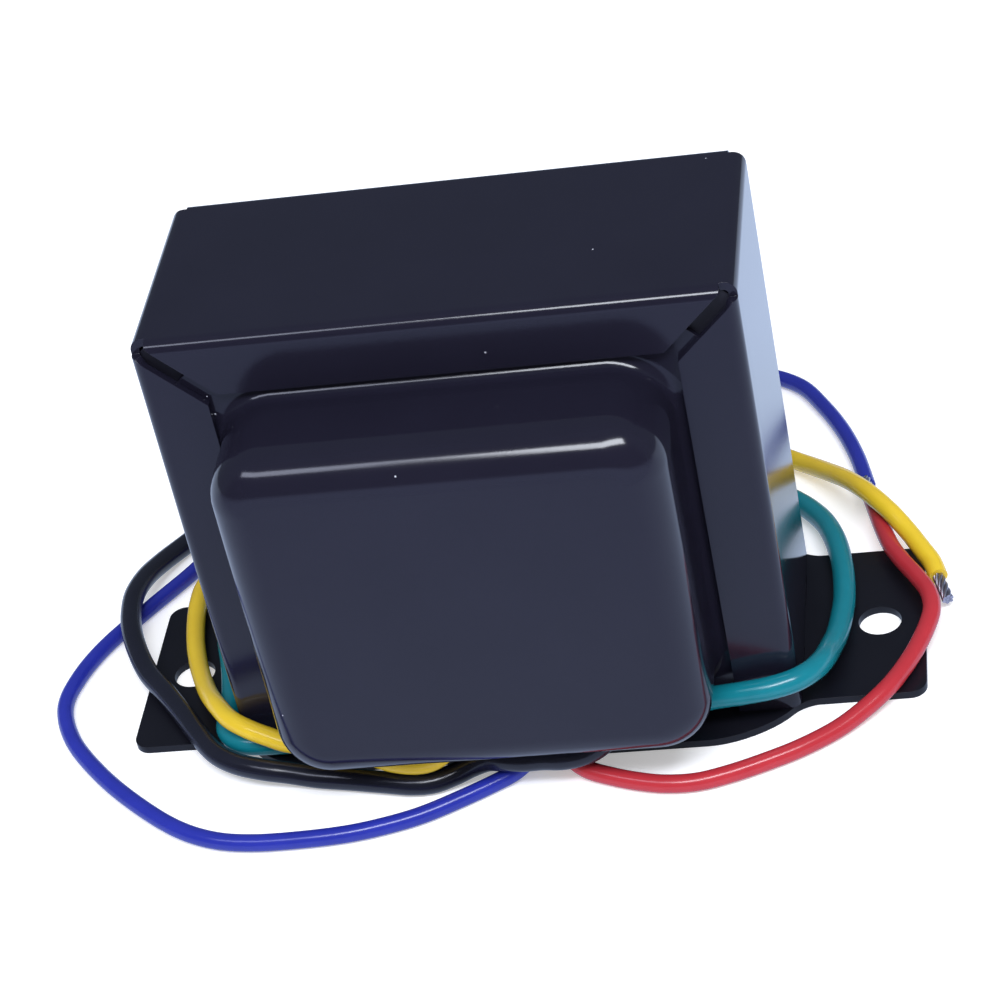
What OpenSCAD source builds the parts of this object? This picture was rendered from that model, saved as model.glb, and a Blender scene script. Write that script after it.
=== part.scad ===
// Audio output transformer in a bent steel hood: two drawn coil covers, a flat
// base plate with an ear at each end, and five flying leads curled round it.
// Millimetres, +Z up. The origin is at the centre of the base plate's underside,
// the covers face -Y and +Y, and the ears point along X.

/* [Core] */
// Width of the core, along the line of the ears
core_w = 66; // [62:1:80]
// Height of the core
core_h = 58.4; // [54:0.1:70]
// Thickness of the stack of laminations
stack_d = 26.4; // [20:0.1:40]
// Width of an outer leg, and of the yoke
leg_w = 11; // [9:0.5:12]
// Width of the middle leg
middle_leg_w = 22; // [18:0.5:24]
// Bevel on the long edges of the stack
core_bevel = 0.8; // [0.6:0.1:1.5]

/* [Coil] */
// Play between the middle leg and the bobbin, and between bobbin and core
bobbin_play = 0.2; // [0.1:0.05:0.4]
// Wall of the bobbin's tube and of its two flanges
bobbin_t = 1; // [0.6:0.1:1.4]
// Part of the room for wire that the primary winding fills
primary_part = 0.56; // [0.4:0.01:0.6]
// Build of the insulation between the windings
layer_t = 0.3; // [0.2:0.1:0.6]
// Room left between the finished coil and the outer legs
coil_gap = 0.9; // [0.4:0.1:1.5]
// Build of the tape round the finished coil
tape_t = 0.4; // [0.2:0.1:0.6]
// Radius at the four corners of the bobbin's tube
coil_corner_r = 1.5; // [1:0.1:2]

/* [Hood] */
// Thickness of the hood's sheet steel
sheet_t = 1; // [0.8:0.1:1.4]
// Outer radius of every bend in the hood
bend_r = 1.5; // [1.4:0.1:1.8]
// Height of the lip turned down from the top panel
top_lip = 8.5; // [5:0.1:10]
// Width of the lip turned in from each side panel
side_lip = 7.5; // [5:0.1:9]
// Width of the mitre gap between two lips
mitre_gap = 1.2; // [0.4:0.1:1.6]
// Diameter of the relief hole where two lips meet the corner
relief_d = 2.6; // [2:0.1:3]
// How far in from the hood's top and side a relief hole is centred
relief_in = 1.8; // [1.6:0.1:2.2]
// Length of each tab that holds the hood in the base plate
tab_l = 6; // [4:0.5:8]
// Distance between the two tabs of one side panel
tab_pitch = 14; // [12:1:18]
// Play round a tab in its slot
tab_play = 0.1; // [0.05:0.05:0.2]

/* [Covers] */
// Thickness of the coil covers' sheet steel
cover_t = 0.8; // [0.6:0.1:1]
// Play between a cover's bulge and the lip over it
cover_play = 0.3; // [0.2:0.1:0.6]
// Play between a cover's bulge and the lips beside it
cover_side_play = 0.85; // [0.4:0.05:1]
// How far left of the middle the front cover sits
cover_left = 0.5; // [0:0.1:0.8]
// Room between the finished coil and the inside of a cover's face
coil_clear = 4.4; // [4:0.1:7]
// Height of a cover's underside above the ground
cover_z = 5.5; // [5:0.5:8]
// Radius of a cover's corners, seen from the front
cover_corner_r = 6.5; // [5.5:0.5:8]
// Radius of the rounding between a cover's walls and its face
cover_edge_r = 5; // [4:0.5:5.5]
// Width of the border that the lips hold
border_w = 5.5; // [3:0.5:6]
// How far right of the middle the slot for the leads sits
slot_x = 1.5; // [-3:0.5:3]
// How far the slot sits behind the front of the finished coil
slot_back = 0.9; // [0:0.1:1.5]
// Width of the slot for the leads
slot_w = 32; // [28:1:36]
// Depth of the slot for the leads
slot_d = 5; // [4:0.5:6]

/* [Base plate] */
// Thickness of the base plate
base_t = 1; // [0.8:0.1:1.6]
// Distance between the two mounting holes
hole_pitch = 86.2; // [82:0.2:100]
// Diameter of the mounting holes
hole_d = 5.2; // [3.5:0.1:5.5]
// Length of the ear beyond the centre of its hole
ear_end = 5.5; // [4:0.1:8]
// How much narrower the ears are than the hood, on each side
ear_inset = 1.4; // [0:0.1:2]
// Radius at the ends of the ears
ear_corner_r = 2; // [1:0.1:3]
// How far the plate reaches past the hood, front and back
apron = 4.6; // [4:0.1:8]
// How far the apron reaches past the hood's sides
apron_side = 2; // [1:0.1:4]
// Radius at the apron's ends
apron_corner_r = 13; // [9:0.5:15]
// Radius in the corner between apron and ear
apron_fillet_r = 4; // [2:0.5:5]

/* [Leads] */
// Diameter of the blue lead over its insulation
blue_d = 2.1; // [1.6:0.1:2.2]
// Diameter of the red lead over its insulation
red_d = 2.2; // [1.6:0.1:2.3]
// Diameter of the yellow lead over its insulation
yellow_d = 2.4; // [1.8:0.1:2.6]
// Diameter of the blue-green lead over its insulation
green_d = 2.8; // [2:0.1:2.9]
// Diameter of the black lead over its insulation
black_d = 2.7; // [2:0.1:2.8]
// Diameter of a lead's tinned strands
tip_d = 1.5; // [1:0.1:1.6]
// Length of bare strands at a lead's end
tip_l = 4; // [3:0.5:6]

/* [Hidden] */
$fn = 48;
// Overlap that makes a cut clean
eps = 0.1;
// Sides of a lead's tube, and rings in each step of its route
lead_sides = 8;
lead_steps = 2;
// Slope above which a lead counts as upright
upright_slope = 0.8;

paint = "#2c303e";
steel = "#8d8f94";
nylon = "#d9d4c2";
copper = "#a8552c";
board = "#c8b58a";
tape_colour = "#c9a227";
tin = "#b6b3b8";

hood_w = core_w + 2 * sheet_t;
hood_d = stack_d + 2 * cover_t + 2 * sheet_t;
hood_h = base_t + core_h + sheet_t;
inner_r = bend_r - sheet_t;
opening_w = hood_w - 2 * side_lip;
opening_top = hood_h - top_lip;
bulge_w = opening_w - 2 * cover_side_play;
bulge_h = opening_top - cover_play - cover_z;
bulge_mid_z = cover_z + bulge_h / 2;
window_w = (core_w - middle_leg_w - 2 * leg_w) / 2;
window_h = core_h - 2 * leg_w;
window_z = base_t + leg_w;
// Thickness of all the wire in a window, shared by the two windings
wire_t = window_w - coil_gap - bobbin_play - bobbin_t - layer_t - tape_t;
primary_t = primary_part * wire_t;
secondary_t = wire_t - primary_t;
hole_x = hole_pitch / 2;
ear_x = hole_x + ear_end;

// Inner half-sizes of each layer of the coil
tube_in = bobbin_play;
tube_out = tube_in + bobbin_t;
primary_out = tube_out + primary_t;
layer_out = primary_out + layer_t;
secondary_out = layer_out + secondary_t;
tape_out = secondary_out + tape_t;
coil_z = window_z + bobbin_play + bobbin_t;
coil_h = window_h - 2 * (bobbin_play + bobbin_t);
// Depth from the border's back to the cover's face
bulge_d = tape_out + coil_clear + cover_t;

// Routes of the leads, from the bobbin's lower flange to the start of the bare end
blue_route = [
    [3.4, -21.4, 12.2], [3.4, -21.4, 9.3], [3.4, -21.4, 6.5], [3.2, -21.5, 4.4], [2.3, -22, 2.6],
    [0.4, -23.1, 1.35], [-2.3, -24.7, 1.05], [-5.9, -26.9, 1.05], [-10, -29.1, 1.05], [-13.9, -30.5, 1.05],
    [-18.7, -31.6, 1.05], [-24.3, -32.1, 1.05], [-30.4, -32.1, 1.05], [-35.5, -31.1, 1.05], [-40.7, -28.4, 1.05],
    [-47, -23.1, 1.05], [-52.4, -17.4, 1.05], [-56.8, -11.3, 1.05], [-59.1, -5.1, 1.05], [-58.6, 0.4, 1.05],
    [-56.3, 6.5, 1.05], [-51.9, 13.6, 1.05], [-47.5, 20.1, 1.05], [-43, 27.4, 1.05], [-35.4, 35.9, 1.05],
    [-26.4, 43.8, 1.05], [-15.4, 50.3, 1.05], [-3.4, 54.7, 1.05], [8.6, 56.6, 1.05], [19, 56.2, 1.05],
    [27.1, 54.2, 1.05], [32.4, 50.7, 1.05], [35.7, 45.3, 1.05], [38.3, 39.5, 1.05], [40.2, 33.4, 1.05],
    [41.5, 27.3, 1.05]];
red_route = [
    [5.6, -21.4, 12.2], [5.6, -21.4, 9.3], [5.6, -21.4, 6.6], [5.8, -21.6, 4.5], [6.7, -22.2, 2.7],
    [8.8, -23.5, 1.35], [12, -24.9, 1.1], [15.3, -26.1, 1.1], [18.5, -26.8, 1.1], [22.1, -26.8, 1.1],
    [25.8, -25.8, 1.1], [29.8, -24.2, 1.1], [33.9, -22.2, 1.1], [38.1, -19.5, 1.2], [41.4, -16.8, 1.7],
    [44, -14.2, 2.3], [45.7, -11.3, 2.3], [47.3, -7.8, 2.3], [48.7, -4.2, 2.6], [49.5, -1.2, 3.1],
    [49.2, 1.8, 3.3], [47.9, 4.9, 3.3], [46.2, 8.1, 3.3], [44.8, 11.3, 3.2], [43.8, 14.9, 3],
    [42.9, 18.9, 2.9], [42.2, 22.1, 2.9]];
yellow_route = [
    [-4.5, -22.8, 12.2], [-4.8, -22.8, 9.6], [-5.6, -22.9, 7.2], [-7.3, -23.5, 5.4], [-9.9, -24, 4.35],
    [-13.7, -23.25, 4.12], [-18.8, -20.7, 4.15], [-23.4, -19.3, 4.3], [-27, -19.1, 4.75], [-29.8, -18.2, 5.3],
    [-32.4, -17.1, 5.85], [-34.8, -15.3, 6], [-36.9, -12.3, 5.6], [-38.7, -9, 4.6], [-40.2, -5.6, 3.6],
    [-41.8, -1.4, 2.85], [-43.2, 3.3, 2.4], [-44.1, 7.9, 2.3], [-44.5, 12.3, 2.4], [-44.4, 16.7, 2],
    [-43, 20.6, 1.35], [-39.7, 25.4, 1.25], [-35.4, 30.7, 1.25], [-27.4, 35.5, 1.25], [-16.4, 39.5, 1.25],
    [-3.5, 42, 1.25], [9.5, 42.1, 1.25], [20.5, 39.7, 1.25], [28.4, 36.1, 1.25], [33.1, 32.5, 1.65],
    [36.4, 28.6, 2.9], [39.3, 24.3, 4.5], [41.9, 20.1, 5.5], [44.6, 16.4, 5.1], [46.7, 13.8, 3.8],
    [48.5, 10.7, 3], [49.6, 8.7, 2.5], [50.3, 6.2, 2.1]];
green_route = [
    [-9.5, -22.2, 12.2], [-9.7, -22.1, 9.6], [-10.3, -21.9, 7.2], [-11.6, -21.2, 4.9], [-13.4, -19.9, 3.35],
    [-16.4, -18.3, 2.6], [-21.2, -16.9, 2.45], [-26.6, -16.6, 2.65], [-31, -16.7, 2.9], [-33.3, -16.4, 2.95],
    [-35, -15.25, 2.9], [-36.1, -13.5, 2.75], [-36.5, -11, 2.5], [-36.8, -6.6, 2.45], [-37.7, -1.4, 2.45],
    [-39.1, 4, 2.45], [-40.3, 9.6, 2.45], [-40.1, 14.7, 2.45], [-38.9, 19, 1.9], [-35.9, 23.4, 1.45],
    [-30, 27.9, 1.45], [-20.5, 32.3, 1.45], [-4, 35.7, 1.45], [12, 34.9, 1.45], [23.6, 31.1, 1.45],
    [31.3, 25.7, 1.45], [35.4, 20.6, 1.9], [37.5, 15.3, 2.4], [38.6, 9.4, 2.45], [38.9, 3.6, 2.45],
    [38.6, -1.2, 2.75], [38.1, -5.2, 3.3], [37.4, -8.8, 4.25], [36.8, -11.9, 5.35], [35.6, -14.6, 6.15],
    [33.6, -16.45, 6.45], [30.9, -17.2, 6.25], [27.6, -17.2, 5.75], [24.2, -16.9, 5.15], [20.9, -16.55, 4.2]];
black_route = [
    [14.5, -22.5, 12.2], [14.2, -22.5, 9.6], [13.3, -22.8, 7.2], [11.7, -23.4, 5.3], [9.4, -24, 4.2],
    [6.7, -24.4, 3.97], [4.1, -24.2, 3.97], [1.7, -24.2, 3.93], [-0.4, -23.8, 3.85], [-2.6, -22.9, 3.2],
    [-4.7, -22.7, 2.35], [-6.9, -23.2, 1.65], [-9.4, -24, 1.36], [-12.1, -24.1, 1.36], [-15.6, -23.4, 1.36],
    [-19.8, -22.5, 1.36], [-23.8, -21.8, 1.45], [-27.3, -21.2, 1.9], [-30.6, -20.8, 2.4], [-34, -19.45, 2.4],
    [-37.1, -17.2, 2.4], [-39.9, -13.5, 2.4], [-42.7, -9.3, 2.4], [-45.8, -4.9, 2.4], [-48.5, -1.3, 2.5],
    [-50.4, 2.2, 2.95], [-51.9, 6, 3.45], [-52.8, 9.9, 3.6], [-53.1, 13.9, 3.5], [-52.6, 18.1, 2.9],
    [-51.4, 22.2, 2], [-49.3, 26.2, 1.4], [-45.4, 31.3, 1.36], [-39.4, 38, 1.36], [-31.4, 45, 1.36],
    [-21.9, 51.3, 1.36], [-10.9, 56.6, 1.36], [0.6, 59.8, 1.36], [10.1, 61, 1.36]];

// Sharp-cornered U that opens downwards
module channel_profile(w, h, r) {
    union() {
        translate([-w / 2, 0]) square([w, h - r]);
        translate([-w / 2 + r, 0]) square([w - 2 * r, h]);
        for (side = [-1, 1]) translate([side * (w / 2 - r), h - r]) circle(r);
    }
}

// Turns a flat shape drawn in X and Z into a plate that runs from y to y + d
module upright(y, d) {
    translate([0, y + d, 0]) rotate([90, 0, 0]) linear_extrude(d) children();
}

// Quarter of a round sheet bend in the first quadrant, with short ends that
// reach into the sheets on either side of it
module bend_profile() {
    union() {
        intersection() {
            difference() {
                circle(bend_r);
                circle(inner_r);
            }
            square(bend_r);
        }
        translate([inner_r, -eps]) square([sheet_t, 2 * eps]);
        translate([-eps, inner_r]) square([2 * eps, sheet_t]);
    }
}

module rounded_rect(w, h, r) {
    union() {
        square([w - 2 * r, h], center = true);
        square([w, h - 2 * r], center = true);
        for (x = [-1, 1], y = [-1, 1])
            translate([x * (w / 2 - r), y * (h / 2 - r)]) circle(r);
    }
}

// Lips and their bends on the hood's front edge
module lips() {
    face_y = -hood_d / 2;
    mitre_l = 2 * norm([side_lip, top_lip]);
    difference() {
        union() {
            upright(face_y, sheet_t) difference() {
                translate([-hood_w / 2 + bend_r, base_t])
                    square([hood_w - 2 * bend_r, hood_h - bend_r - base_t]);
                translate([-opening_w / 2, base_t - eps])
                    square([opening_w, opening_top - base_t + eps]);
            }
            translate([hood_w / 2 - bend_r, face_y + bend_r, hood_h - bend_r])
                rotate([0, -90, 0]) rotate([0, 0, -90])
                linear_extrude(hood_w - 2 * bend_r) bend_profile();
            for (side = [0, 1]) mirror([side, 0, 0])
                translate([hood_w / 2 - bend_r, face_y + bend_r, base_t])
                rotate([0, 0, -90])
                linear_extrude(hood_h - bend_r - base_t) bend_profile();
        }
        for (side = [0, 1]) mirror([side, 0, 0])
            translate([hood_w / 2 - side_lip, face_y + bend_r / 2, opening_top])
            rotate([0, -atan2(top_lip, side_lip), 0])
            cube([mitre_l, bend_r + 4 * eps, mitre_gap], center = true);
        for (side = [-1, 1])
            translate([side * (hood_w / 2 - relief_in), face_y - eps, hood_h - relief_in])
            rotate([-90, 0, 0]) cylinder(d = relief_d, h = bend_r + 2 * eps);
    }
}

module hood() {
    color(paint) union() {
        upright(-hood_d / 2 + bend_r, hood_d - 2 * bend_r) translate([0, base_t])
            difference() {
                channel_profile(hood_w, hood_h - base_t, bend_r);
                translate([0, -eps])
                    channel_profile(core_w, core_h + eps, inner_r);
            }
        for (back = [0, 1]) mirror([0, back, 0]) lips();
        for (side = [0, 1], end = [-1, 1]) mirror([side, 0, 0])
            translate([core_w / 2, end * tab_pitch / 2 - tab_l / 2, 0])
            cube([sheet_t, tab_l, base_t + eps]);
    }
}

// The ears and the middle of the plate, with a fillet where they meet
module base_outline() {
    ear_y = hood_d / 2 - ear_inset;
    apron_x = hood_w / 2 + apron_side;
    apron_y = hood_d / 2 + apron;
    corner_x = apron_x - apron_corner_r;
    corner_y = apron_y - apron_corner_r;
    fillet_y = ear_y + apron_fillet_r;
    reach = apron_corner_r + apron_fillet_r;
    fillet_x = corner_x + sqrt(reach * reach - (fillet_y - corner_y) * (fillet_y - corner_y));
    union() {
        rounded_rect(2 * ear_x, 2 * ear_y, ear_corner_r);
        rounded_rect(2 * apron_x, 2 * apron_y, apron_corner_r);
        for (x = [0, 1], y = [0, 1]) mirror([x, 0]) mirror([0, y])
            difference() {
                polygon([[corner_x, corner_y], [fillet_x, corner_y], [fillet_x, fillet_y]]);
                translate([fillet_x, fillet_y]) circle(apron_fillet_r);
            }
    }
}

module base_plate() {
    color(paint) difference() {
        linear_extrude(base_t) base_outline();
        for (side = [-1, 1]) translate([side * hole_x, 0, -eps])
            cylinder(d = hole_d, h = base_t + 2 * eps);
        for (side = [0, 1], end = [-1, 1]) mirror([side, 0, 0])
            translate([core_w / 2 - tab_play, end * tab_pitch / 2 - tab_l / 2 - tab_play, -eps])
            cube([sheet_t + 2 * tab_play, tab_l + 2 * tab_play, base_t + 2 * eps]);
    }
}

// Drawn cup with round corners and a round edge to its face, standing on z = 0
module cup(w, h, d, corner_r, edge_r) {
    hull() for (x = [-1, 1], y = [-1, 1])
        translate([x * (w / 2 - corner_r), y * (h / 2 - corner_r), 0]) {
            cylinder(r = corner_r, h = d - edge_r, $fn = 32);
            translate([0, 0, d - edge_r]) rotate_extrude($fn = 32)
                translate([corner_r - edge_r, 0]) intersection() {
                    circle(edge_r, $fn = 32);
                    square(edge_r);
                }
        }
}

// One coil cover, facing up, its border on z = 0
module cover() {
    border_low = bulge_mid_z - bulge_h / 2 - base_t - cover_play;
    difference() {
        union() {
            translate([-bulge_w / 2 - border_w, -bulge_h / 2 - border_low, 0])
                cube([bulge_w + 2 * border_w, bulge_h + border_low + border_w, cover_t]);
            cup(bulge_w, bulge_h, bulge_d, cover_corner_r, cover_edge_r);
        }
        translate([0, 0, -eps]) cup(bulge_w - 2 * cover_t, bulge_h - 2 * cover_t,
            bulge_d - cover_t + eps, cover_corner_r - cover_t, cover_edge_r - cover_t);
    }
}

// Cuts through the bottom of the front cover
module lead_slot() {
    slot_y = slot_back - tape_out - stack_d / 2;
    translate([slot_x, slot_y, base_t]) linear_extrude(cover_z + cover_t)
        rounded_rect(slot_w, slot_d, slot_d / 2 - eps);
}

module front_cover() {
    color(paint) difference() {
        translate([-cover_left, -stack_d / 2, bulge_mid_z]) rotate([90, 0, 0]) cover();
        lead_slot();
    }
}

module rear_cover() {
    color(paint) mirror([0, 1, 0])
        translate([0, -stack_d / 2, bulge_mid_z]) rotate([90, 0, 0]) cover();
}

// Flat shape of the whole core, with its two windows
module core_shape() {
    difference() {
        translate([-core_w / 2, base_t]) square([core_w, core_h]);
        for (side = [-1, 1])
            translate([side * (middle_leg_w + window_w) / 2 - window_w / 2, window_z])
            square([window_w, window_h]);
        for (side = [-1, 1], z = [base_t, base_t + core_h])
            translate([side * core_w / 2, z]) rotate(45)
            square(core_bevel * sqrt(2), center = true);
    }
}

module e_laminations() {
    color(steel) upright(-stack_d / 2, stack_d) difference() {
        core_shape();
        translate([-core_w / 2 - eps, base_t - eps]) square([core_w + 2 * eps, leg_w + eps]);
    }
}

module i_laminations() {
    color(steel) upright(-stack_d / 2, stack_d) intersection() {
        core_shape();
        translate([-core_w / 2, base_t]) square([core_w, leg_w]);
    }
}

module bobbin() {
    flange_out = window_w - bobbin_play;
    color(nylon) difference() {
        union() {
            translate([0, 0, window_z + bobbin_play]) linear_extrude(window_h - 2 * bobbin_play)
                square([middle_leg_w + 2 * tube_out, stack_d + 2 * tube_out], center = true);
            for (z = [window_z + bobbin_play, window_z + window_h - bobbin_play - bobbin_t])
                translate([0, 0, z]) linear_extrude(bobbin_t)
                square([middle_leg_w + 2 * flange_out, stack_d + 2 * flange_out], center = true);
        }
        translate([0, 0, window_z]) linear_extrude(window_h)
            square([middle_leg_w + 2 * tube_in, stack_d + 2 * tube_in], center = true);
    }
}

// Layer of the coil between two distances from the middle leg
module wrap(inner, outer) {
    translate([0, 0, coil_z]) linear_extrude(coil_h) difference() {
        rounded_rect(middle_leg_w + 2 * outer, stack_d + 2 * outer,
            coil_corner_r + outer - tube_out);
        rounded_rect(middle_leg_w + 2 * inner, stack_d + 2 * inner,
            coil_corner_r + inner - tube_out);
    }
}

module primary_winding() {
    color(copper) translate([0, 0, coil_z]) linear_extrude(coil_h) difference() {
        rounded_rect(middle_leg_w + 2 * primary_out, stack_d + 2 * primary_out,
            coil_corner_r + primary_out - tube_out);
        square([middle_leg_w + 2 * tube_out, stack_d + 2 * tube_out], center = true);
    }
}

module layer_insulation() {
    color(board) wrap(primary_out, layer_out);
}

module secondary_winding() {
    color(copper) wrap(layer_out, secondary_out);
}

module coil_tape() {
    color(tape_colour) wrap(secondary_out, tape_out);
}

function unit(v) = v / norm(v);

// Points of a smooth curve through a route, a few to each of its steps
function smooth(p, steps) = [
    for (i = [0 : len(p) - 2], k = [0 : steps - 1])
        let (a = p[max(i - 1, 0)], b = p[i], c = p[i + 1], d = p[min(i + 2, len(p) - 1)],
            t = k / steps)
        0.5 * (2 * b + (c - a) * t + (2 * a - 5 * b + 4 * c - d) * t * t
            + (3 * b - a - 3 * c + d) * t * t * t),
    p[len(p) - 1]];

// Tube of a given diameter along a list of points
module tube(p, d) {
    last = len(p) - 1;
    rings = [for (i = [0 : last])
        let (along = unit(p[min(i + 1, last)] - p[max(i - 1, 0)]),
            across = unit(cross(along, abs(along[2]) > upright_slope ? [0, 1, 0] : [0, 0, 1])),
            up = cross(across, along))
        for (k = [0 : lead_sides - 1])
            let (a = 360 * (k + 0.5) / lead_sides)
            p[i] + d / 2 * (cos(a) * across + sin(a) * up)];
    walls = [for (i = [0 : last - 1], k = [0 : lead_sides - 1])
        let (next = (k + 1) % lead_sides)
        [i * lead_sides + k, i * lead_sides + next,
            (i + 1) * lead_sides + next, (i + 1) * lead_sides + k]];
    start = [[for (k = [lead_sides - 1 : -1 : 0]) k]];
    end = [[for (k = [0 : lead_sides - 1]) last * lead_sides + k]];
    polyhedron(points = rings, faces = concat(walls, start, end));
}

module lead(route, d) {
    tube(smooth(route, lead_steps), d);
}

module lead_tip(route) {
    last = len(route) - 1;
    along = unit(route[last] - route[last - 1]);
    color(tin) tube([route[last], route[last] + along * tip_l], tip_d);
}

module blue_lead() { color("#2a3ca4") lead(blue_route, blue_d); }
module red_lead() { color("#c03236") lead(red_route, red_d); }
module yellow_lead() { color("#e0bf2c") lead(yellow_route, yellow_d); }
module green_lead() { color("#1f8a8c") lead(green_route, green_d); }
module black_lead() { color("#262b35") lead(black_route, black_d); }
module blue_tip() { lead_tip(blue_route); }
module red_tip() { lead_tip(red_route); }
module yellow_tip() { lead_tip(yellow_route); }
module green_tip() { lead_tip(green_route); }
module black_tip() { lead_tip(black_route); }

hood();
base_plate();
front_cover();
rear_cover();
e_laminations();
i_laminations();
bobbin();
primary_winding();
layer_insulation();
secondary_winding();
coil_tape();
blue_lead();
red_lead();
yellow_lead();
green_lead();
black_lead();
blue_tip();
red_tip();
yellow_tip();
green_tip();
black_tip();
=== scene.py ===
# Audio output transformer: a black enamelled hood of folded sheet, two drawn coil
# covers, a base plate with an ear at each end, and five flying leads.
from math import pi, radians

import bmesh
import bpy
from mathutils import Euler, Matrix, Vector


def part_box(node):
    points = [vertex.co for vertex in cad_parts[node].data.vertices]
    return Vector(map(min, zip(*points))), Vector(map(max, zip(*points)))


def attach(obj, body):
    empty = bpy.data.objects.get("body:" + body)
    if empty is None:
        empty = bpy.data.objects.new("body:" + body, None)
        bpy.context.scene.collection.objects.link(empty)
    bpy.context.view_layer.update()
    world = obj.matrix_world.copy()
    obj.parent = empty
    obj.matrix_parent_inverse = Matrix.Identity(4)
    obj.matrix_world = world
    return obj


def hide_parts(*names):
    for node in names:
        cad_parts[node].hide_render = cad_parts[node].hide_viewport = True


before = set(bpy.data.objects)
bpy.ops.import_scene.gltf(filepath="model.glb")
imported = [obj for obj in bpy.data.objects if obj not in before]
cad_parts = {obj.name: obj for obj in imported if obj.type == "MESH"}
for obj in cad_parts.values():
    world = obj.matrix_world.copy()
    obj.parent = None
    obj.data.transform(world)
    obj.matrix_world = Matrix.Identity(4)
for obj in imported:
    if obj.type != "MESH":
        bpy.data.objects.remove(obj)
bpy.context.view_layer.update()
scene = bpy.context.scene
scene.view_settings.view_transform = "Standard"
mm = 0.001

# ---- Camera ----
# A long lens a little above the part and to its right, so that the front, the top
# and a narrow strip of the right side show.
lens_data = bpy.data.cameras.new("camera")
lens_data.lens = 112.76
lens_data.sensor_width = 36
lens_data.clip_start = 10 * mm
camera = bpy.data.objects.new("camera", lens_data)
camera.location = Vector((68.87, -294.98, 243.04)) * mm
camera.rotation_euler = Euler((radians(53.438), radians(10.23), radians(5.573)))
scene.collection.objects.link(camera)
scene.camera = camera

# ---- Flying leads ----
# Stranded hook-up wire: tinned copper inside extruded PVC insulation. The leads come
# down from the coil, leave through the slot under the front cover and lie round the
# base. Each route repeats the CAD tube's points, in millimetres.
STRIP_LENGTH = 4 * mm
BLUE_ROUTE = [
    (3.4, -21.4, 12.2), (3.4, -21.4, 9.3), (3.4, -21.4, 6.5), (3.2, -21.5, 4.4),
    (2.3, -22, 2.6), (0.4, -23.1, 1.35), (-2.3, -24.7, 1.05), (-5.9, -26.9, 1.05),
    (-10, -29.1, 1.05), (-13.9, -30.5, 1.05), (-18.7, -31.6, 1.05), (-24.3, -32.1, 1.05),
    (-30.4, -32.1, 1.05), (-35.5, -31.1, 1.05), (-40.7, -28.4, 1.05), (-47, -23.1, 1.05),
    (-52.4, -17.4, 1.05), (-56.8, -11.3, 1.05), (-59.1, -5.1, 1.05), (-58.6, 0.4, 1.05),
    (-56.3, 6.5, 1.05), (-51.9, 13.6, 1.05), (-47.5, 20.1, 1.05), (-43, 27.4, 1.05),
    (-35.4, 35.9, 1.05), (-26.4, 43.8, 1.05), (-15.4, 50.3, 1.05), (-3.4, 54.7, 1.05),
    (8.6, 56.6, 1.05), (19, 56.2, 1.05), (27.1, 54.2, 1.05), (32.4, 50.7, 1.05),
    (35.7, 45.3, 1.05), (38.3, 39.5, 1.05), (40.2, 33.4, 1.05), (41.5, 27.3, 1.05)]
RED_ROUTE = [
    (5.6, -21.4, 12.2), (5.6, -21.4, 9.3), (5.6, -21.4, 6.6), (5.8, -21.6, 4.5),
    (6.7, -22.2, 2.7), (8.8, -23.5, 1.35), (12, -24.9, 1.1), (15.3, -26.1, 1.1),
    (18.5, -26.8, 1.1), (22.1, -26.8, 1.1), (25.8, -25.8, 1.1), (29.8, -24.2, 1.1),
    (33.9, -22.2, 1.1), (38.1, -19.5, 1.2), (41.4, -16.8, 1.7), (44, -14.2, 2.3),
    (45.7, -11.3, 2.3), (47.3, -7.8, 2.3), (48.7, -4.2, 2.6), (49.5, -1.2, 3.1),
    (49.2, 1.8, 3.3), (47.9, 4.9, 3.3), (46.2, 8.1, 3.3), (44.8, 11.3, 3.2),
    (43.8, 14.9, 3), (42.9, 18.9, 2.9), (42.2, 22.1, 2.9)]
YELLOW_ROUTE = [
    (-4.5, -22.8, 12.2), (-4.8, -22.8, 9.6), (-5.6, -22.9, 7.2), (-7.3, -23.5, 5.4),
    (-9.9, -24, 4.35), (-13.7, -23.25, 4.12), (-18.8, -20.7, 4.15), (-23.4, -19.3, 4.3),
    (-27, -19.1, 4.75), (-29.8, -18.2, 5.3), (-32.4, -17.1, 5.85), (-34.8, -15.3, 6),
    (-36.9, -12.3, 5.6), (-38.7, -9, 4.6), (-40.2, -5.6, 3.6), (-41.8, -1.4, 2.85),
    (-43.2, 3.3, 2.4), (-44.1, 7.9, 2.3), (-44.5, 12.3, 2.4), (-44.4, 16.7, 2),
    (-43, 20.6, 1.35), (-39.7, 25.4, 1.25), (-35.4, 30.7, 1.25), (-27.4, 35.5, 1.25),
    (-16.4, 39.5, 1.25), (-3.5, 42, 1.25), (9.5, 42.1, 1.25), (20.5, 39.7, 1.25),
    (28.4, 36.1, 1.25), (33.1, 32.5, 1.65), (36.4, 28.6, 2.9), (39.3, 24.3, 4.5),
    (41.9, 20.1, 5.5), (44.6, 16.4, 5.1), (46.7, 13.8, 3.8), (48.5, 10.7, 3),
    (49.6, 8.7, 2.5), (50.3, 6.2, 2.1)]
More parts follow.
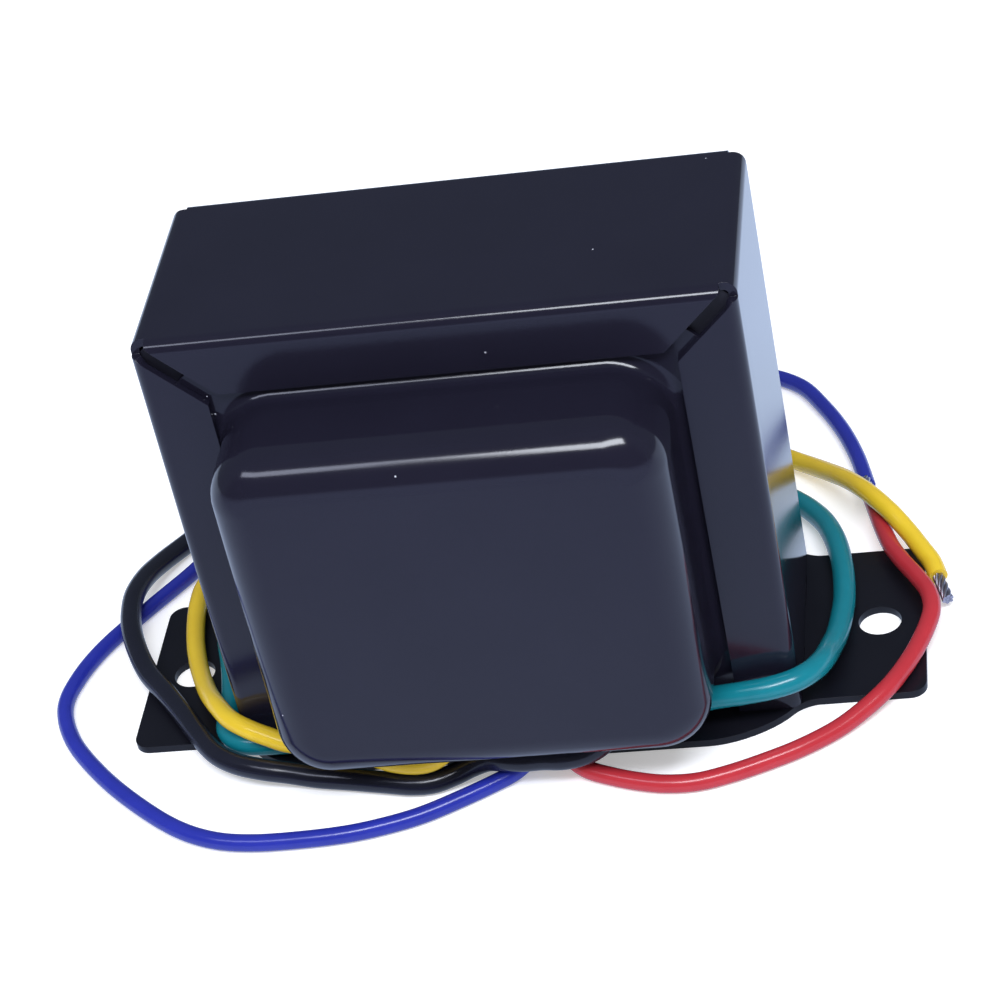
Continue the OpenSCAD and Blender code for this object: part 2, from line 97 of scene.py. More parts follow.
GREEN_ROUTE = [
    (-9.5, -22.2, 12.2), (-9.7, -22.1, 9.6), (-10.3, -21.9, 7.2), (-11.6, -21.2, 4.9),
    (-13.4, -19.9, 3.35), (-16.4, -18.3, 2.6), (-21.2, -16.9, 2.45), (-26.6, -16.6, 2.65),
    (-31, -16.7, 2.9), (-33.3, -16.4, 2.95), (-35, -15.25, 2.9), (-36.1, -13.5, 2.75),
    (-36.5, -11, 2.5), (-36.8, -6.6, 2.45), (-37.7, -1.4, 2.45), (-39.1, 4, 2.45),
    (-40.3, 9.6, 2.45), (-40.1, 14.7, 2.45), (-38.9, 19, 1.9), (-35.9, 23.4, 1.45),
    (-30, 27.9, 1.45), (-20.5, 32.3, 1.45), (-4, 35.7, 1.45), (12, 34.9, 1.45),
    (23.6, 31.1, 1.45), (31.3, 25.7, 1.45), (35.4, 20.6, 1.9), (37.5, 15.3, 2.4),
    (38.6, 9.4, 2.45), (38.9, 3.6, 2.45), (38.6, -1.2, 2.75), (38.1, -5.2, 3.3),
    (37.4, -8.8, 4.25), (36.8, -11.9, 5.35), (35.6, -14.6, 6.15), (33.6, -16.45, 6.45),
    (30.9, -17.2, 6.25), (27.6, -17.2, 5.75), (24.2, -16.9, 5.15), (20.9, -16.55, 4.2)]
BLACK_ROUTE = [
    (14.5, -22.5, 12.2), (14.2, -22.5, 9.6), (13.3, -22.8, 7.2), (11.7, -23.4, 5.3),
    (9.4, -24, 4.2), (6.7, -24.4, 3.97), (4.1, -24.2, 3.97), (1.7, -24.2, 3.93),
    (-0.4, -23.8, 3.85), (-2.6, -22.9, 3.2), (-4.7, -22.7, 2.35), (-6.9, -23.2, 1.65),
    (-9.4, -24, 1.36), (-12.1, -24.1, 1.36), (-15.6, -23.4, 1.36), (-19.8, -22.5, 1.36),
    (-23.8, -21.8, 1.45), (-27.3, -21.2, 1.9), (-30.6, -20.8, 2.4), (-34, -19.45, 2.4),
    (-37.1, -17.2, 2.4), (-39.9, -13.5, 2.4), (-42.7, -9.3, 2.4), (-45.8, -4.9, 2.4),
    (-48.5, -1.3, 2.5), (-50.4, 2.2, 2.95), (-51.9, 6, 3.45), (-52.8, 9.9, 3.6),
    (-53.1, 13.9, 3.5), (-52.6, 18.1, 2.9), (-51.4, 22.2, 2), (-49.3, 26.2, 1.4),
    (-45.4, 31.3, 1.36), (-39.4, 38, 1.36), (-31.4, 45, 1.36), (-21.9, 51.3, 1.36),
    (-10.9, 56.6, 1.36), (0.6, 59.8, 1.36), (10.1, 61, 1.36)]


def linear(code):
    """A colour written as an sRGB hex value, in the linear values that a shader takes."""
    parts = [int(code[i:i + 2], 16) / 255 for i in (1, 3, 5)]
    return [c / 12.92 if c <= 0.04045 else ((c + 0.055) / 1.055) ** 2.4 for c in parts] + [1]


def add(tree, kind, links={}, **settings):
    """A new shader node with its settings. An input is given a value or linked to a socket."""
    made = tree.nodes.new(kind)
    for key, value in settings.items():
        setattr(made, key, value)
    for key, value in links.items():
        if isinstance(value, bpy.types.NodeSocket):
            tree.links.new(value, made.inputs[key])
        else:
            made.inputs[key].default_value = value
    return made


def new_material(name, roughness, **sockets):
    """A material with one principled shader, its node tree and the object's coordinates."""
    made = bpy.data.materials.new(name)
    made.use_nodes = True
    tree = made.node_tree
    shader = tree.nodes["Principled BSDF"]
    shader.inputs["Roughness"].default_value = roughness
    for key, value in sockets.items():
        shader.inputs[key.replace("_", " ")].default_value = value
    return made, tree, shader, add(tree, "ShaderNodeTexCoord").outputs["Object"]


def pvc(name, pale, deep):
    """Extruded PVC insulation: an even colour, a soft gloss and a faint grain."""
    made, tree, shader, place = new_material(name, 0.22)
    # Clouds of about 3 mm where the pigment is a little thinner
    cloud = add(tree, "ShaderNodeTexNoise", {"Vector": place, "Scale": 330, "Detail": 2})
    blend = add(tree, "ShaderNodeMixRGB", {"Fac": cloud.outputs["Fac"],
        "Color1": linear(deep), "Color2": linear(pale)})
    # Grain of 0.2 mm, left by the extruder's die
    grain = add(tree, "ShaderNodeTexNoise", {"Vector": place, "Scale": 5000, "Detail": 2})
    bump = add(tree, "ShaderNodeBump", {"Height": grain.outputs["Fac"], "Strength": 0.15,
        "Distance": 0.02 * mm})
    tree.links.new(blend.outputs["Color"], shader.inputs["Base Color"])
    tree.links.new(bump.outputs["Normal"], shader.inputs["Normal"])
    return made


def tinned_copper():
    """Tinned strands: a pale grey metal, dulled a little where the solder wiped off."""
    made, tree, shader, place = new_material("tinned_copper", 0.38, Metallic=1)
    # Wiped places of about 0.7 mm
    wiped = add(tree, "ShaderNodeTexNoise", {"Vector": place, "Scale": 1500, "Detail": 3})
    blend = add(tree, "ShaderNodeMixRGB", {"Fac": wiped.outputs["Fac"],
        "Color1": linear("#8f8b98"), "Color2": linear("#cfccd8")})
    tree.links.new(blend.outputs["Color"], shader.inputs["Base Color"])
    return made


STRANDS_METAL = tinned_copper()


def publish(name, data, finish, slot, *nodes):
    """The piece made of that mesh or curve, on the one body, in place of its CAD nodes."""
    made = bpy.data.objects.new(name, data)
    scene.collection.objects.link(made)
    data.materials.append(finish)
    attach(made, "root")
    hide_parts(*nodes)
    return made


def drawn(mesh, edges, way):
    """Extrudes those edges along one way, and returns the new edges and corners."""
    grown = bmesh.ops.extrude_edge_only(mesh, edges=edges)["geom"]
    corners = [part for part in grown if isinstance(part, bmesh.types.BMVert)]
    bmesh.ops.translate(mesh, verts=corners, vec=way)
    rims = [part for part in grown if isinstance(part, bmesh.types.BMEdge)]
    return [rim for rim in rims if all(corner in corners for corner in rim.verts)], corners


def smooth_piece(name, mesh, finish, slot, *nodes):
    """Shades a mesh smooth, with its corners left sharp, and makes it a piece."""
    bmesh.ops.recalc_face_normals(mesh, faces=mesh.faces)
    data = bpy.data.meshes.new(name)
    mesh.to_mesh(data)
    mesh.free()
    data.shade_smooth()
    data.set_sharp_from_angle(angle=radians(40))
    return publish(name, data, finish, slot, *nodes)


def bare_end(name, start, along, node):
    """Six tinned strands twisted round a seventh, from where the insulation is stripped."""
    strand_r, turns, steps = 0.25 * mm, 0.6, 10
    side = along.orthogonal().normalized()
    to_end = along.to_track_quat("Z", "Y").to_matrix().to_4x4()
    mesh = bmesh.new()
    for index in range(7):
        lay = Matrix.Rotation(index * pi / 3, 3, along) @ side * (2 * strand_r if index else 0)
        ring = bmesh.ops.create_circle(mesh, cap_ends=True, radius=strand_r, segments=10,
            matrix=Matrix.Translation(start + lay) @ to_end)["verts"]
        rims = list({rim for corner in ring for rim in corner.link_edges})
        for step in range(steps):
            rims, corners = drawn(mesh, rims, along * STRIP_LENGTH / steps)
            if index:
                bmesh.ops.rotate(mesh, verts=corners, cent=start,
                    matrix=Matrix.Rotation(2 * pi * turns / steps, 3, along))
        bmesh.ops.contextual_create(mesh, geom=rims)
    return smooth_piece(name, mesh, STRANDS_METAL, "tinned_strands", node)


def flying_lead(name, route, diameter, finish, slot):
    """One lead on a smooth curve through its route, with its stripped end."""
    data = bpy.data.curves.new(name, "CURVE")
    data.dimensions = "3D"
    data.bevel_depth = diameter / 2
    data.bevel_resolution = 7
    data.resolution_u = data.render_resolution_u = 8
    data.use_fill_caps = True
    points = [Vector(place) * mm for place in route]
    line = data.splines.new("BEZIER")
    line.bezier_points.add(len(points) - 1)
    for i, point in enumerate(points):
        pull = (points[min(i + 1, len(points) - 1)] - points[max(i - 1, 0)]) / 6
        knot = line.bezier_points[i]
        knot.handle_left_type = knot.handle_right_type = "FREE"
        knot.co, knot.handle_left, knot.handle_right = point, point - pull, point + pull
    made = publish(name + "_wire", data, finish, slot, name)
    along = (points[-1] - points[-2]).normalized()
    tip = name.replace("lead", "tip")
    strands = bare_end(tip + "_strands", points[-1], along, tip)


flying_lead("blue_lead", BLUE_ROUTE, 2.1 * mm,
    pvc("blue_pvc", "#27309c", "#202a8c"), "blue_pvc")
flying_lead("red_lead", RED_ROUTE, 2.2 * mm,
    pvc("red_pvc", "#b6323a", "#a92b34"), "red_pvc")
flying_lead("yellow_lead", YELLOW_ROUTE, 2.4 * mm,
    pvc("yellow_pvc", "#e3c331", "#d9b62a"), "yellow_pvc")
flying_lead("green_lead", GREEN_ROUTE, 2.8 * mm,
    pvc("blue_green_pvc", "#127d8b", "#0e7280"), "green_pvc")
flying_lead("black_lead", BLACK_ROUTE, 2.7 * mm,
    pvc("black_pvc", "#1b1c28", "#161722"), "black_pvc")

# ---- Hood ----
# One blank of 1 mm sheet steel, folded into a channel over the core. Its lips turn in
# at front and back to hold the covers and meet at open mitres. Four tabs go through
# the base plate. Stoved in gloss black enamel, as the covers and the plate are.
SHEET = 1 * mm
BEND_R = 1.5 * mm
TOP_LIP = 7.4 * mm
SIDE_LIP = 7.5 * mm
MITRE_GAP = 1.9 * mm
# How far the folds stop short of the corner
NOTCH = 1.9 * mm
TAB_FROM, TAB_TO = 4 * mm, 10 * mm
NEAR = 0.01 * mm
WIDE, DEEP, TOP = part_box("hood")[1]
PLATE_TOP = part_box("base_plate")[1][2]


def black_enamel():
    """Stoved gloss enamel over steel: near black, mirror-like with a faint orange peel,
    and with a few specks of dust lying on it."""
    made, tree, shader, place = new_material("black_stoving_enamel", 0.13, IOR=1.47)
    # Orange peel: gentle waves about 0.8 mm apart
    peel = add(tree, "ShaderNodeTexNoise", {"Vector": place, "Scale": 1200, "Detail": 1})
    bump = add(tree, "ShaderNodeBump", {"Height": peel.outputs["Fac"], "Strength": 0.1,
        "Distance": 0.02 * mm})
    # Dust: a speck of 0.2 mm in about half of the 4 mm cells
    speck = add(tree, "ShaderNodeTexVoronoi", {"Vector": place, "Scale": 1 / (4 * mm)})
    near = add(tree, "ShaderNodeMath", {0: speck.outputs["Distance"], 1: 0.026},
        operation="LESS_THAN")
    cell = add(tree, "ShaderNodeSeparateColor", {"Color": speck.outputs["Color"]})
    some = add(tree, "ShaderNodeMath", {0: cell.outputs["Red"], 1: 0.5},
        operation="LESS_THAN")
    dust = add(tree, "ShaderNodeMath", {0: near.outputs[0], 1: some.outputs[0]},
        operation="MULTIPLY")
    # Clouds of about 11 mm, hardly to be seen, where the coat is thicker
    cloud = add(tree, "ShaderNodeTexNoise", {"Vector": place, "Scale": 90, "Detail": 3})
    paint = add(tree, "ShaderNodeMixRGB", {"Fac": cloud.outputs["Fac"],
        "Color1": linear("#181723"), "Color2": linear("#1c1b28")})
    face = add(tree, "ShaderNodeMixRGB", {"Fac": dust.outputs[0],
        "Color1": paint.outputs["Color"], "Color2": linear("#b9bcc8")})
    tree.links.new(face.outputs["Color"], shader.inputs["Base Color"])
    tree.links.new(bump.outputs["Normal"], shader.inputs["Normal"])
    return made


ENAMEL = black_enamel()


def enamelled(name, mesh, out, wall, finish, *nodes):
    """An enamelled piece of sheet: its skin faces out, the wall lies inside it, and its
    sheared edges are broken."""
    bmesh.ops.recalc_face_normals(mesh, faces=mesh.faces)
    outermost = max(mesh.faces, key=lambda face: face.calc_center_median().dot(out))
    if outermost.normal.dot(out) < 0:
        bmesh.ops.reverse_faces(mesh, faces=mesh.faces)
    data = bpy.data.meshes.new(name)
    mesh.to_mesh(data)
    mesh.free()
    data.shade_smooth()
    made = publish(name, data, finish, "black_enamel", *nodes)
    if wall:
        sheet = made.modifiers.new("sheet", "SOLIDIFY")
        sheet.thickness, sheet.offset, sheet.use_even_offset = wall, -1, True
    rims = made.modifiers.new("broken_edges", "BEVEL")
    rims.width, rims.segments, rims.angle_limit = 0.3 * mm, 4, radians(40)
    made.modifiers.new("even_gloss", "WEIGHTED_NORMAL")
    return made


def turned(mesh, rims, pivot, axis, angle):
    """Spins those edges through a bend and returns the edges at its end."""
    corners = {corner for rim in rims for corner in rim.verts}
    last = bmesh.ops.spin(mesh, geom=[*rims, *corners], cent=pivot, axis=axis,
        angle=angle, steps=10)["geom_last"]
    return [part for part in last if isinstance(part, bmesh.types.BMEdge)]


def cut(mesh, faces, place, normal, clear=False):
    """Cuts those faces by a plane, and drops what lies beyond it where that is asked."""
    geom = {part for face in faces for part in (face, *face.edges, *face.verts)}
    bmesh.ops.bisect_plane(mesh, geom=list(geom), plane_co=place, plane_no=normal,
        clear_outer=clear)


def lip(mesh, rim, pivot, axis, angle, way, mitres):
    """Folds a lip from one edge, draws its flat part and cuts its mitres."""
    before = set(mesh.faces)
    drawn(mesh, turned(mesh, [rim], pivot, axis, angle), way)
    for place, normal in mitres:
        new = [face for face in mesh.faces if face not in before]
        cut(mesh, new, place, normal, clear=True)


def edges_where(mesh, test):
    """The edges of a mesh that have both ends where the test wants them."""
    return [rim for rim in mesh.edges if all(test(corner.co) for corner in rim.verts)]


# The channel, drawn from its right foot over the top to the left one
channel = bmesh.new()
foot = [channel.verts.new((WIDE, y, PLATE_TOP)) for y in (BEND_R - DEEP, DEEP - BEND_R)]
rims = [channel.edges.new(foot)]
rims, corners = drawn(channel, rims, Vector((0, 0, TOP - NOTCH - PLATE_TOP)))
rims, corners = drawn(channel, rims, Vector((0, 0, NOTCH - BEND_R)))
rims = turned(channel, rims, (WIDE - BEND_R, 0, TOP - BEND_R), (0, 1, 0), -pi / 2)
rims, corners = drawn(channel, rims, Vector((BEND_R - NOTCH, 0, 0)))
rims, corners = drawn(channel, rims, Vector((2 * (NOTCH - WIDE), 0, 0)))
rims, corners = drawn(channel, rims, Vector((BEND_R - NOTCH, 0, 0)))
rims = turned(channel, rims, (BEND_R - WIDE, 0, TOP - BEND_R), (0, 1, 0), -pi / 2)
rims, corners = drawn(channel, rims, Vector((0, 0, BEND_R - NOTCH)))
rims, corners = drawn(channel, rims, Vector((0, 0, PLATE_TOP + NOTCH - TOP)))

# Tabs, between four cuts across the channel
for y in (-TAB_TO, -TAB_FROM, TAB_FROM, TAB_TO):
    cut(channel, channel.faces, (0, y, 0), (0, 1, 0))
soles = edges_where(channel, lambda co: co.z < PLATE_TOP + NEAR
    and TAB_FROM - NEAR < abs(co.y) < TAB_TO + NEAR)
drawn(channel, [sole for sole in soles if sole.verts[0].co.y * sole.verts[1].co.y > 0],
    Vector((0, 0, -PLATE_TOP)))

# Lips, on the front and the back edge
for end in (-1, 1):
    fold_y = end * (DEEP - BEND_R)
    mitres = []
    for side in (-1, 1):
        inner = Vector((side * (WIDE - SIDE_LIP), 0, TOP - TOP_LIP))
        normal = Vector((side * TOP_LIP, 0, -SIDE_LIP)).normalized()
        mitres.append((inner - normal * MITRE_GAP / 2, normal))
        rim = edges_where(channel, lambda co: abs(co.y - fold_y) < NEAR
            and abs(co.x - side * WIDE) < NEAR and PLATE_TOP - NEAR < co.z < TOP - NOTCH + NEAR)
        lip(channel, rim[0], (side * (WIDE - BEND_R), fold_y, 0), (0, 0, 1),
            side * end * pi / 2, Vector((side * (BEND_R - SIDE_LIP), 0, 0)),
            [(inner + normal * MITRE_GAP / 2, -normal)])
    rim = edges_where(channel, lambda co: abs(co.y - fold_y) < NEAR
        and abs(co.x) < WIDE - NOTCH + NEAR and co.z > TOP - NEAR)
    lip(channel, rim[0], (0, fold_y, TOP - BEND_R), (1, 0, 0), -end * pi / 2,
        Vector((0, 0, BEND_R - TOP_LIP)), mitres)
enamelled("hood_sheet", channel, Vector((0, 0, 1)), SHEET, ENAMEL, "hood")


# ---- Coil covers ----
# Two drawn cups over the ends of the coil. Each has a border that lies on the core
# and is held by the hood's lips. The front one has the slot for the leads in its
# underside.
COVER_SHEET = 0.8 * mm
BORDER = 5.5 * mm
FOOT_BORDER = 4.2 * mm
CORNER_R = 6.5 * mm
EDGE_R = 5 * mm
# Inner radius of the bend between the walls and the border
FOOT_R = 1.8 * mm
SLOT_X = (-14.5 * mm, 17.5 * mm)
SLOT_Y = (-24.9 * mm, -19.9 * mm)


def coil_cover(node, end, slotted):
    """A cover whose face looks along end (-1 is the front)."""
    low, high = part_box(node)
    face_y = low[1] if end < 0 else high[1]
    seat_y = (high[1] if end < 0 else low[1]) + end * COVER_SHEET
    size = Vector((high[0] - low[0] - 2 * BORDER, abs(face_y - seat_y),
        high[2] - low[2] - BORDER - FOOT_BORDER))
    middle = Vector(((low[0] + high[0]) / 2, (face_y + seat_y) / 2,
        (low[2] + FOOT_BORDER + high[2] - BORDER) / 2))
    cup = bmesh.new()
    bmesh.ops.create_cube(cup, size=1, matrix=Matrix.Translation(middle)
        @ Matrix.Diagonal((*size, 1)))
    back = [face for face in cup.faces if face.normal.y * end < -0.5]
    bmesh.ops.delete(cup, geom=back, context="FACES_ONLY")
    walls = [rim for rim in cup.edges if abs(rim.verts[0].co.y - rim.verts[1].co.y) > NEAR]
    bmesh.ops.bevel(cup, geom=walls, offset=CORNER_R, offset_type="OFFSET", segments=12,
        profile=0.5, affect="EDGES", material=-1)
    brim = edges_where(cup, lambda co: abs(co.y - face_y) < NEAR)
    bmesh.ops.bevel(cup, geom=brim, offset=EDGE_R, offset_type="OFFSET", segments=12,
        profile=0.5, affect="EDGES", material=-1)
    mouth = edges_where(cup, lambda co: abs(co.y - seat_y) < NEAR)
    rims, corners = drawn(cup, mouth, Vector())
    wide = (high[0] - low[0]) / size.x
    tall = (high[2] - low[2]) / size.z
    lift = (low[2] + high[2]) / 2 - middle.z
    bmesh.ops.scale(cup, verts=corners, vec=(wide, 1, tall),
        space=Matrix.Translation(-middle))
    bmesh.ops.translate(cup, verts=corners, vec=(0, 0, lift))
    feet = [rim for rim in mouth if rim.is_valid]
    bmesh.ops.bevel(cup, geom=feet, offset=FOOT_R, offset_type="OFFSET", segments=6,
        profile=0.5, affect="EDGES", material=-1)
    if slotted:
        def low_wall():
            """The faces of the cup's underside."""
            return [face for face in cup.faces
                if face.calc_center_median().z < low[2] + FOOT_BORDER + 2 * BEND_R
                and abs(face.calc_center_median().y) > abs(seat_y) + NEAR]

        for x in SLOT_X:
            cut(cup, low_wall(), (x, 0, 0), (1, 0, 0))
        for y in SLOT_Y:
            cut(cup, low_wall(), (0, y, 0), (0, 1, 0))
        gap = [face for face in low_wall()
            if SLOT_X[0] < face.calc_center_median().x < SLOT_X[1]
            and SLOT_Y[0] < face.calc_center_median().y < SLOT_Y[1]]
        bmesh.ops.delete(cup, geom=gap, context="FACES")
    enamelled(node + "_cup", cup, Vector((0, end, 0)), COVER_SHEET, ENAMEL, node)


coil_cover("front_cover", -1, True)
coil_cover("rear_cover", 1, False)

# ---- Base plate ----
# A blank of 1 mm sheet with an ear and a hole at each end, wider under the covers.
# Four slots hold the hood's tabs.
HOLE_X = 43.1 * mm
HOLE_R = 2.6 * mm
EAR_Y = 13.6 * mm
EAR_R = 2 * mm
# Where the sloped edge between ear and apron would meet each of them, uncurved
NECK_X, SHOULDER_X = 34.108 * mm, 29.018 * mm
NECK_CURVE, SHOULDER_CURVE = 1.852 * mm, 6.018 * mm
TAB_PLAY = 0.02 * mm


def dipped_enamel():
    """Enamel on the plate, dipped and not sprayed: darker, and less of a mirror."""
    made, tree, shader, place = new_material("dipped_enamel", 0.33, IOR=1.47,
        Specular_IOR_Level=0.3)
    # Clouds of about 8 mm where the coat ran thicker
    cloud = add(tree, "ShaderNodeTexNoise", {"Vector": place, "Scale": 120, "Detail": 3})
    paint = add(tree, "ShaderNodeMixRGB", {"Fac": cloud.outputs["Fac"],
        "Color1": linear("#111118"), "Color2": linear("#16161e")})
    # Grain of 0.4 mm from the pickled sheet below
    grain = add(tree, "ShaderNodeTexNoise", {"Vector": place, "Scale": 2500, "Detail": 2})
    bump = add(tree, "ShaderNodeBump", {"Height": grain.outputs["Fac"], "Strength": 0.12,
        "Distance": 0.02 * mm})
    tree.links.new(paint.outputs["Color"], shader.inputs["Base Color"])
    tree.links.new(bump.outputs["Normal"], shader.inputs["Normal"])
    return made


def rounded(mesh, test, reach):
    """Rounds the corners that pass a test, each from that far before it to that far after."""
    corners = [corner for corner in mesh.verts if test(corner.co)]
    bmesh.ops.bevel(mesh, geom=corners, offset=reach, offset_type="OFFSET", segments=10,
        profile=0.5, affect="VERTICES", material=-1)


low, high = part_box("base_plate")
plate = bmesh.new()
quarter = [(high[0], EAR_Y), (NECK_X, EAR_Y), (SHOULDER_X, high[1])]
places = [*quarter, *[(-x, y) for x, y in quarter[::-1]],
    *[(-x, -y) for x, y in quarter], *[(x, -y) for x, y in quarter[::-1]]]
blank = plate.faces.new([plate.verts.new((x, y, high[2])) for x, y in places])
rounded(plate, lambda co: abs(co.x) > high[0] - NEAR, EAR_R)
rounded(plate, lambda co: abs(abs(co.x) - NECK_X) < NEAR and abs(co.y) < EAR_Y + NEAR,
    NECK_CURVE)
rounded(plate, lambda co: abs(abs(co.x) - SHOULDER_X) < NEAR and abs(co.y) > high[1] - NEAR,
    SHOULDER_CURVE)
bmesh.ops.delete(plate, geom=plate.faces[:], context="FACES_ONLY")
for side in (-1, 1):
    bmesh.ops.create_circle(plate, radius=HOLE_R, segments=48,
        matrix=Matrix.Translation((side * HOLE_X, 0, high[2])))
    for end in (-1, 1):
        # A circle of four corners, turned and grown, is a square with sides of 1
        slot_at = Vector((side * (WIDE - SHEET / 2), end * (TAB_FROM + TAB_TO) / 2, high[2]))
        slot_size = (SHEET + 2 * TAB_PLAY, TAB_TO - TAB_FROM + 2 * TAB_PLAY, 1, 1)
        bmesh.ops.create_circle(plate, radius=0.5, segments=4,
            matrix=Matrix.Translation(slot_at) @ Matrix.Diagonal(slot_size)
            @ Matrix.Rotation(pi / 4, 4, "Z") @ Matrix.Scale(2 ** 0.5, 4))
bmesh.ops.triangle_fill(plate, edges=plate.edges[:], use_beauty=True, use_dissolve=False)
grown = bmesh.ops.extrude_face_region(plate, geom=plate.faces[:])["geom"]
bmesh.ops.translate(plate, vec=(0, 0, low[2] - high[2]),
    verts=[part for part in grown if isinstance(part, bmesh.types.BMVert)])
enamelled("base_plate_blank", plate, Vector((0, 0, 1)), 0, dipped_enamel(), "base_plate")

# ---- Core and coil ----
# Inside the hood, seen only through its gaps: laminations dipped in black varnish, a
# nylon bobbin, enamelled copper wire, pressed paper and yellow polyester tape.


def repaint(made, *nodes):
    """Puts a material on carried-over CAD nodes."""
    for node in nodes:
        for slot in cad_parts[node].material_slots:
            slot.material = made


def varnished_core():
    """Edges of silicon steel sheets, 0.35 mm thick, under black bitumen varnish."""
    made, tree, shader, place = new_material("varnished_laminations", 0.5,
        Specular_IOR_Level=0.4)
    # The sheets are drawn 0.7 mm thick, or they would be too fine to show
    sheets = add(tree, "ShaderNodeTexWave", {"Vector": place, "Scale": 450,
        "Distortion": 0.3, "Detail": 1}, bands_direction="Y")
    # Stains of about 7 mm where the varnish ran
    stain = add(tree, "ShaderNodeTexNoise", {"Vector": place, "Scale": 150, "Detail": 3})
    blend = add(tree, "ShaderNodeMixRGB", {"Fac": stain.outputs["Fac"],
        "Color1": linear("#1c1c27"), "Color2": linear("#262632")})
    bump = add(tree, "ShaderNodeBump", {"Height": sheets.outputs["Fac"], "Strength": 0.4,
        "Distance": 0.05 * mm})
    tree.links.new(blend.outputs["Color"], shader.inputs["Base Color"])
    tree.links.new(bump.outputs["Normal"], shader.inputs["Normal"])
    return made


def wound_copper():
    """Enamelled copper wire, 0.3 mm thick, laid in level turns, with painted shade between
    them.
    """
    made, tree, shader, place = new_material("enamelled_copper_wire", 0.3, Metallic=1)
    # The wire is drawn 0.6 mm thick, or its turns would be too fine to show
    turns = add(tree, "ShaderNodeTexWave", {"Vector": place, "Scale": 520,
        "Distortion": 0.2, "Detail": 1}, bands_direction="Z")
    # Painted shade and highlight: the colour is dark in the grooves between the turns and pale
    # on their crowns, along the same waves as the bump
    blend = add(tree, "ShaderNodeMixRGB", {"Fac": turns.outputs["Fac"],
        "Color1": linear("#5e2a14"), "Color2": linear("#b8643a")})
    bump = add(tree, "ShaderNodeBump", {"Height": turns.outputs["Fac"], "Strength": 0.6,
        "Distance": 0.1 * mm})
    tree.links.new(blend.outputs["Color"], shader.inputs["Base Color"])
    tree.links.new(bump.outputs["Normal"], shader.inputs["Normal"])
    return made


def mottled(name, roughness, pale, deep, scale):
    """A dull material with clouds of two shades, one metre over scale wide, for nylon,
    paper and tape."""
    made, tree, shader, place = new_material(name, roughness)
    cloud = add(tree, "ShaderNodeTexNoise", {"Vector": place, "Scale": scale, "Detail": 4})
    blend = add(tree, "ShaderNodeMixRGB", {"Fac": cloud.outputs["Fac"],
        "Color1": linear(deep), "Color2": linear(pale)})
    bump = add(tree, "ShaderNodeBump", {"Height": cloud.outputs["Fac"], "Strength": 0.3,
        "Distance": 0.05 * mm})
    tree.links.new(blend.outputs["Color"], shader.inputs["Base Color"])
    tree.links.new(bump.outputs["Normal"], shader.inputs["Normal"])
    return made


repaint(varnished_core(), "e_laminations", "i_laminations")
repaint(wound_copper(), "primary_winding", "secondary_winding")
repaint(mottled("natural_nylon", 0.5, "#dcd8c6", "#cfc9b3", 300), "bobbin")
repaint(mottled("pressed_paper", 0.8, "#cbb88c", "#b39e70", 900), "layer_insulation")
repaint(mottled("polyester_tape", 0.3, "#cfa62a", "#bf961f", 250), "coil_tape")

# ---- Floor ----
# A white sheet that keeps the part's shadow. In the enamel it shows a painted reflection
# instead: a blue colour and a blue glow that is dark in front of the part and pale behind it.
floor_mesh = bmesh.new()
bmesh.ops.create_grid(floor_mesh, x_segments=1, y_segments=1, size=3)
floor_data = bpy.data.meshes.new("floor")
floor_mesh.to_mesh(floor_data)
floor_mesh.free()
floor = bpy.data.objects.new("floor", floor_data)
scene.collection.objects.link(floor)
paper, tree, shader, place = new_material("white_sheet", 1)
shader.inputs["Base Color"].default_value = linear("#f0f0f0")
shader.inputs["Specular IOR Level"].default_value = 0
shader.inputs["Emission Color"].default_value = (1, 1, 1, 1)
shader.inputs["Emission Strength"].default_value = 0.35
path = add(tree, "ShaderNodeLightPath")
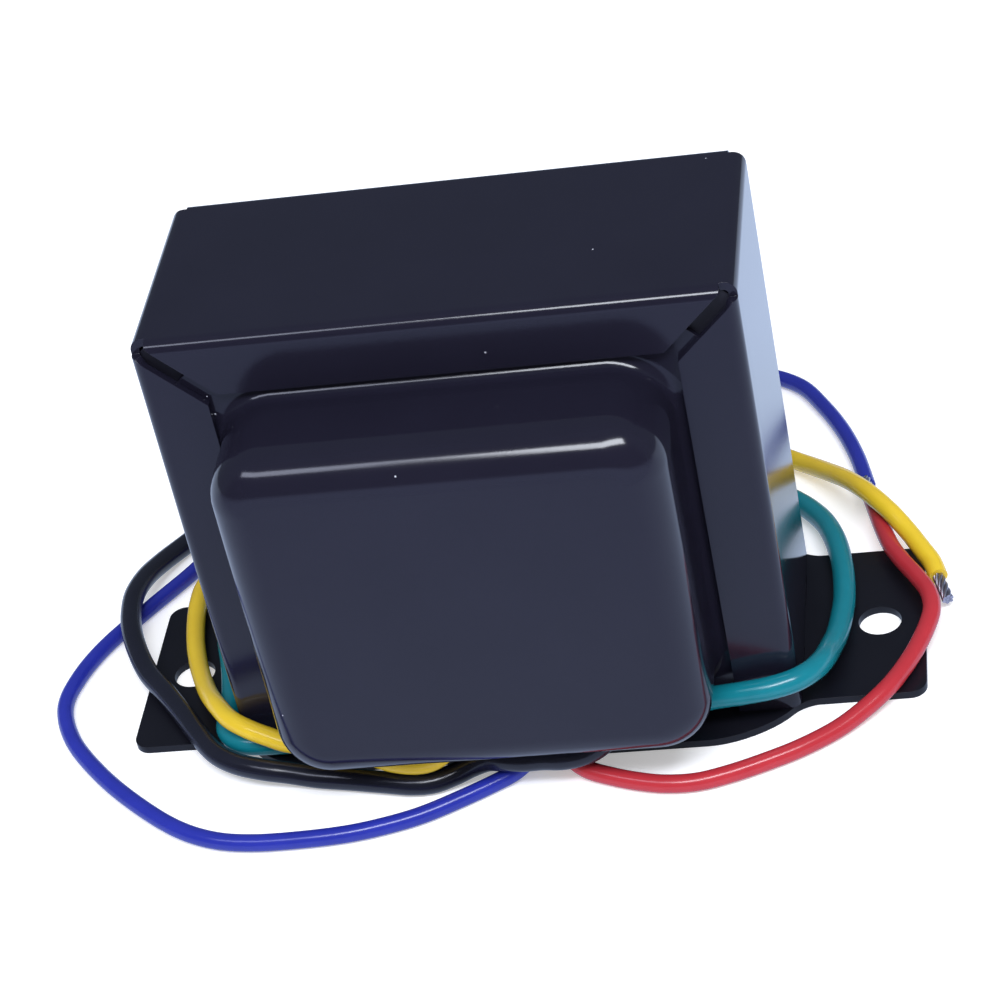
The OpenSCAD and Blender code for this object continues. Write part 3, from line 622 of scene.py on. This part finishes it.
# Painted reflection: only mirror rays see this blue glow, dark in front of the part and palest
# behind it, and this blue diffuse colour
span = add(tree, "ShaderNodeSeparateXYZ", {"Vector": place})
far = add(tree, "ShaderNodeMapRange", {"Value": span.outputs["Y"], "From Min": -0.1,
    "From Max": 0.05})
painted_reflection_colour = add(tree, "ShaderNodeMixRGB", {"Fac": far.outputs["Result"],
    "Color1": (0.02, 0.02, 0.03, 1), "Color2": (0.49, 0.59, 0.72, 1)})
own = add(tree, "ShaderNodeEmission", {"Color": painted_reflection_colour.outputs["Color"]})
# Painted reflection tint: a blue diffuse colour that only mirror rays see
dull = add(tree, "ShaderNodeBsdfDiffuse", {"Color": (0.26, 0.31, 0.46, 1)})
painted_reflection = add(tree, "ShaderNodeAddShader", {0: own.outputs["Emission"],
    1: dull.outputs["BSDF"]})
either = add(tree, "ShaderNodeMixShader", {"Fac": path.outputs["Is Glossy Ray"],
    1: shader.outputs["BSDF"], 2: painted_reflection.outputs["Shader"]})
tree.links.new(either.outputs["Shader"], tree.nodes["Material Output"].inputs["Surface"])
floor_data.materials.append(paper)

# ---- Room and lamps ----
# A wide strip softbox overhead, in front of the part, a dimmer one on its left, and a
# room that is pale behind the part and dark in front of it.
room = bpy.data.worlds.new("room")
scene.world = room
room.use_nodes = True
tree = room.node_tree
way = add(tree, "ShaderNodeTexCoord").outputs["Generated"]
split = add(tree, "ShaderNodeSeparateXYZ", {"Vector": way})
behind = add(tree, "ShaderNodeMapRange", {"Value": split.outputs["Y"], "From Min": -0.5,
    "From Max": -0.1}, interpolation_type="SMOOTHSTEP")
tone = add(tree, "ShaderNodeMixRGB", {"Fac": behind.outputs["Result"],
    "Color1": (0.03, 0.035, 0.045, 1), "Color2": (0.11, 0.14, 0.18, 1)})
path = add(tree, "ShaderNodeLightPath")
lit = add(tree, "ShaderNodeMixRGB", {"Fac": path.outputs["Is Glossy Ray"],
    "Color1": (0.6, 0.6, 0.62, 1), "Color2": tone.outputs["Color"]})
shown = add(tree, "ShaderNodeMixRGB", {"Fac": path.outputs["Is Camera Ray"],
    "Color1": lit.outputs["Color"], "Color2": (1, 1, 1, 1)})
tree.links.new(shown.outputs["Color"], tree.nodes["Background"].inputs["Color"])


def softbox(name, place, aim, size, power, colour=(1, 1, 1)):
    """A rectangular lamp at a place, aimed at a point. Size is its width and height."""
    data = bpy.data.lights.new(name, "AREA")
    data.shape, data.size, data.size_y = "RECTANGLE", size[0] * mm, size[1] * mm
    data.energy, data.color = power, colour
    made = bpy.data.objects.new(name, data)
    made.location = Vector(place) * mm
    made.rotation_euler = (Vector(aim) - Vector(place)).to_track_quat("-Z", "Y").to_euler()
    scene.collection.objects.link(made)


softbox("overhead_strip", (130, -340, 600), (0, 0, 30), (530, 150), 4.5, (0.88, 0.92, 1))
softbox("lilac_strip", (-320, -340, 600), (-200, 0, 30), (360, 130), 1, (0.75, 0.8, 1))
